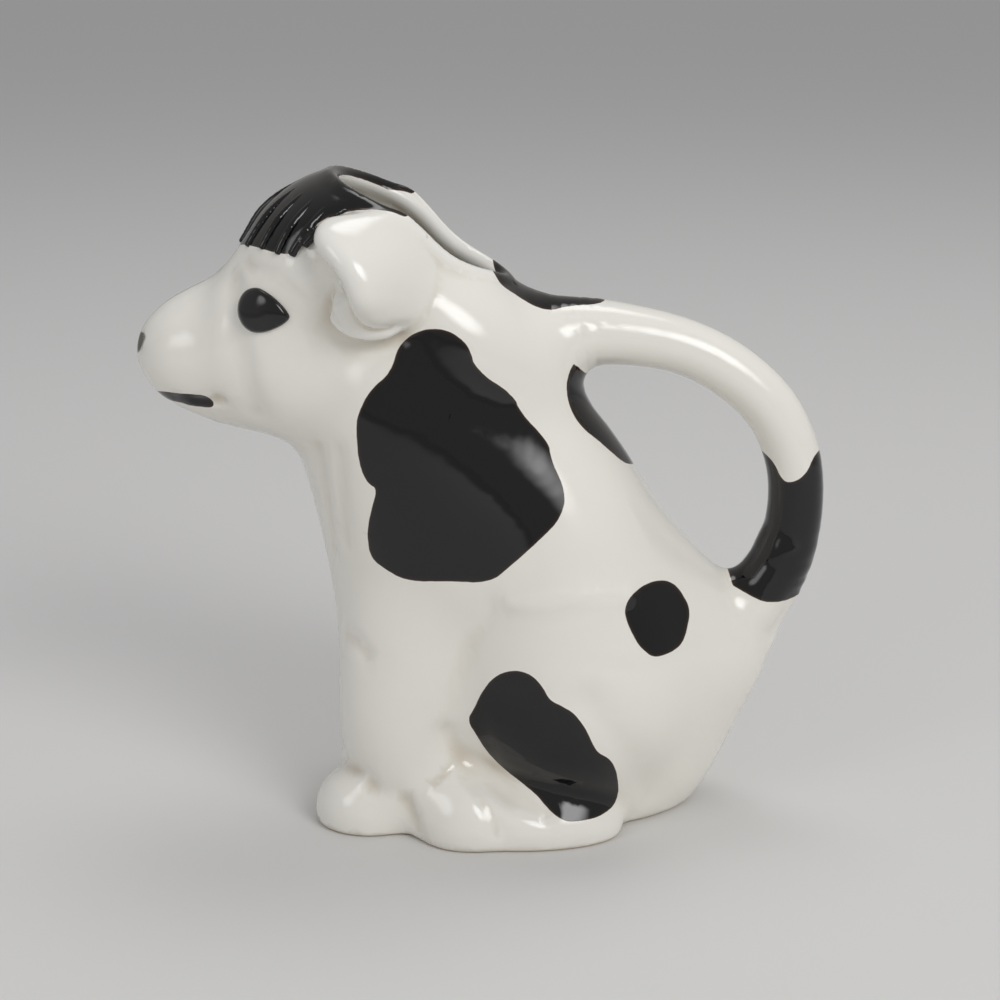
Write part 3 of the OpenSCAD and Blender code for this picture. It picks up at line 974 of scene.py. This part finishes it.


# The glaze in black all over, or in ivory with the painted patches on it, painted shade in its hollows and
# painted light on its ridges
def glazeMaterial(name, waves, edges, painted):
    material = bpy.data.materials.new(name)
    material.use_nodes = True
    nodes, links = material.node_tree.nodes, material.node_tree.links
    shader = nodes["Principled BSDF"]
    shader.inputs["IOR"].default_value = glaze["index"]
    wave = nodes.new("ShaderNodeGroup")
    wave.node_tree = waves
    wave.inputs["Scale"].default_value = glaze["waves"]
    bump = nodes.new("ShaderNodeBump")
    bump.inputs["Strength"].default_value = glaze["ripple"]
    bump.inputs["Distance"].default_value = glaze["rippleHeight"]
    links.new(wave.outputs["Height"], bump.inputs["Height"])
    links.new(bump.outputs["Normal"], shader.inputs["Normal"])
    if not painted:
        lifted = tuple(glaze["blackLift"] * v for v in glaze["black"])
        cloud = scaled(nodes, links, wave.outputs["Tone"], glaze["blackRange"])
        links.new(mixColour(nodes, links, cloud, glaze["black"], lifted), shader.inputs["Base Color"])
        shader.inputs["Roughness"].default_value = glaze["blackGloss"]
        return material
    # the pool attribute darkens hollows with painted shade and lightens ridges with painted light
    pool, stroke, snout = [nodes.new("ShaderNodeAttribute") for _ in range(3)]
    pool.attribute_name, stroke.attribute_name, snout.attribute_name = "pool", "paint", "nostril"
    brushNode = nodes.new("ShaderNodeGroup")
    brushNode.node_tree = edges
    brushNode.inputs["Wobble"].default_value = glaze["wobble"]
    links.new(stroke.outputs["Fac"], brushNode.inputs["Distance"])
    hollowShadeAmount = scaled(nodes, links, pool.outputs["Fac"], glaze["paintedHollowShadeRange"])
    ridgeLightAmount = scaled(nodes, links, pool.outputs["Fac"], glaze["paintedRidgeLightRange"])
    # painted shade in hollows, then painted light on ridges
    base = mixColour(nodes, links, hollowShadeAmount, glaze["ivory"], glaze["paintedHollowShade"])
    base = mixColour(nodes, links, ridgeLightAmount, base, glaze["thin"])
    tone = nodes.new("ShaderNodeMix")
    tone.data_type, tone.blend_type = "RGBA", "MULTIPLY"
    tone.inputs["Factor"].default_value = glaze["tone"]
    links.new(base, tone.inputs["A"])
    links.new(wave.outputs["Tone"], tone.inputs["B"])
    grey = scaled(nodes, links, snout.outputs["Fac"], glaze["nostrilRange"])
    marked = mixColour(nodes, links, grey, tone.outputs["Result"], glaze["nostril"])
    black = mixColour(nodes, links, brushNode.outputs["Thin"], glaze["black"], glaze["thinBlack"])
    colour = mixColour(nodes, links, brushNode.outputs["Painted"], marked, black)
    place, split = nodes.new("ShaderNodeTexCoord"), nodes.new("ShaderNodeSeparateXYZ")
    links.new(place.outputs["Object"], split.inputs[0])
    bare = scaled(nodes, links, split.outputs["Z"], glaze["bareRange"])
    colour = mixColour(nodes, links, bare, colour, glaze["bisque"])
    links.new(colour, shader.inputs["Base Color"])
    rough = nodes.new("ShaderNodeMapRange")
    rough.inputs["To Min"].default_value = glaze["gloss"]
    rough.inputs["To Max"].default_value = glaze["bareRoughness"]
    links.new(bare, rough.inputs["Value"])
    links.new(rough.outputs["Result"], shader.inputs["Roughness"])
    return material


# Floor and light
studio = {
    "floor": (0.68, 0.67, 0.65),
    "backdrop": (0.36, 0.352, 0.34),
    "floorReach": 30.0,
    "floorRoughness": 0.9,
    "skyColour": (0.95, 0.96, 1.0),
    "sky": 0.44,
    # place, size and power of each soft box
    "boxes": {"key": ((0.60, -0.80, 0.75), (0.9, 0.9), 7.6), "side": ((-0.80, -0.70, 0.55), (0.6, 0.8), 1.7),
              "top": ((0.10, 0.30, 1.05), (0.9, 0.6), 2.8)},
    "aim": (0, 0, 0.07),
    "fade": (0.5, 0.15),  # a box is dark at its edge and full at this share from its middle
    "full": 2.2,
}


def plainMaterial(name, colour, roughness):
    material = bpy.data.materials.new(name)
    material.use_nodes = True
    shader = material.node_tree.nodes["Principled BSDF"]
    shader.inputs["Base Color"].default_value = (*colour, 1)
    shader.inputs["Roughness"].default_value = roughness
    return material


def softBox(name, place, size, power):
    lamp = bpy.data.lights.new(name, "AREA")
    lamp.shape, lamp.size, lamp.size_y, lamp.energy = "RECTANGLE", size[0], size[1], power
    lamp.use_nodes = True
    nodes, links = lamp.node_tree.nodes, lamp.node_tree.links
    where, shift, length, fade = (nodes.new("ShaderNodeNewGeometry"), nodes.new("ShaderNodeVectorMath"),
                                  nodes.new("ShaderNodeVectorMath"), nodes.new("ShaderNodeMapRange"))
    shift.operation, length.operation = "SUBTRACT", "LENGTH"
    shift.inputs[1].default_value = (0.5, 0.5, 0)
    fade.interpolation_type = "SMOOTHSTEP"
    fade.inputs["From Min"].default_value, fade.inputs["From Max"].default_value = studio["fade"]
    fade.inputs["To Max"].default_value = studio["full"]
    links.new(where.outputs["Parametric"], shift.inputs[0])
    links.new(shift.outputs[0], length.inputs[0])
    links.new(length.outputs["Value"], fade.inputs["Value"])
    links.new(fade.outputs["Result"], nodes["Emission"].inputs["Strength"])
    obj = bpy.data.objects.new(name, lamp)
    obj.location = place
    aim = np.array(studio["aim"]) - np.array(place)
    obj.rotation_euler = (math.atan2(math.hypot(aim[0], aim[1]), -aim[2]), 0, math.atan2(-aim[0], aim[1]))
    bpy.context.scene.collection.objects.link(obj)


# The camera, and what shines and shows at a distance, see the backdrop; the sky only lights
def makeStudio():
    mesh = bpy.data.meshes.new("floor")
    reach = studio["floorReach"]
    corners = [(-reach, -reach, 0), (reach, -reach, 0), (reach, reach, 0), (-reach, reach, 0)]
    mesh.from_pydata(corners, [], [(0, 1, 2, 3)])
    mesh.materials.append(plainMaterial("paleFloor", studio["floor"], studio["floorRoughness"]))
    floor = bpy.data.objects.new("floor", mesh)
    bpy.context.scene.collection.objects.link(floor)
    for name, (place, size, power) in studio["boxes"].items():
        softBox(name, place, size, power)
    world = bpy.data.worlds.new("studio")
    bpy.context.scene.world = world
    world.use_nodes = True
    nodes, links = world.node_tree.nodes, world.node_tree.links
    sky, shown = nodes["Background"], nodes.new("ShaderNodeBackground")
    sky.inputs["Color"].default_value = (*studio["skyColour"], 1)
    sky.inputs["Strength"].default_value = studio["sky"]
    shown.inputs["Color"].default_value = (*studio["backdrop"], 1)
    path, swap = nodes.new("ShaderNodeLightPath"), nodes.new("ShaderNodeMixShader")
    first, second = nodes.new("ShaderNodeMath"), nodes.new("ShaderNodeMath")
    first.operation = second.operation = "MAXIMUM"
    links.new(path.outputs["Is Camera Ray"], first.inputs[0])
    links.new(path.outputs["Is Glossy Ray"], first.inputs[1])
    links.new(first.outputs[0], second.inputs[0])
    links.new(path.outputs["Is Transmission Ray"], second.inputs[1])
    links.new(second.outputs[0], swap.inputs["Fac"])
    links.new(sky.outputs[0], swap.inputs[1])
    links.new(shown.outputs[0], swap.inputs[2])
    links.new(swap.outputs[0], nodes["World Output"].inputs["Surface"])
    bpy.context.scene.view_settings.view_transform = "Standard"


def setPiece(obj, material, node):
    obj.data.materials.clear()
    obj.data.materials.append(material)
    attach(obj, restBody)
    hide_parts(node)


makeCamera()
makeStudio()
print("camera and studio stand")
waves, edges = waveGroup(), brushGroup()
ivoryGlaze = glazeMaterial("ivoryGlaze", waves, edges, True)
blackGlaze = glazeMaterial("blackGlaze", waves, edges, False)
jugPieces = makeJug()
setPiece(jugPieces["bodyShell"], ivoryGlaze, "body_shell")
setPiece(jugPieces["tailHandle"], ivoryGlaze, "tail_handle")
setPiece(jugPieces["leftEar"], ivoryGlaze, "left_ear")
setPiece(jugPieces["rightEar"], ivoryGlaze, "right_ear")
print("jug, tail and ears made")
setPiece(makeForelock(blackGlaze), blackGlaze, "forelock")
print("forelock made")
setPiece(makeEye("leftEye", -1), blackGlaze, "left_eye")
setPiece(makeEye("rightEye", 1), blackGlaze, "right_eye")
print("eyes made")
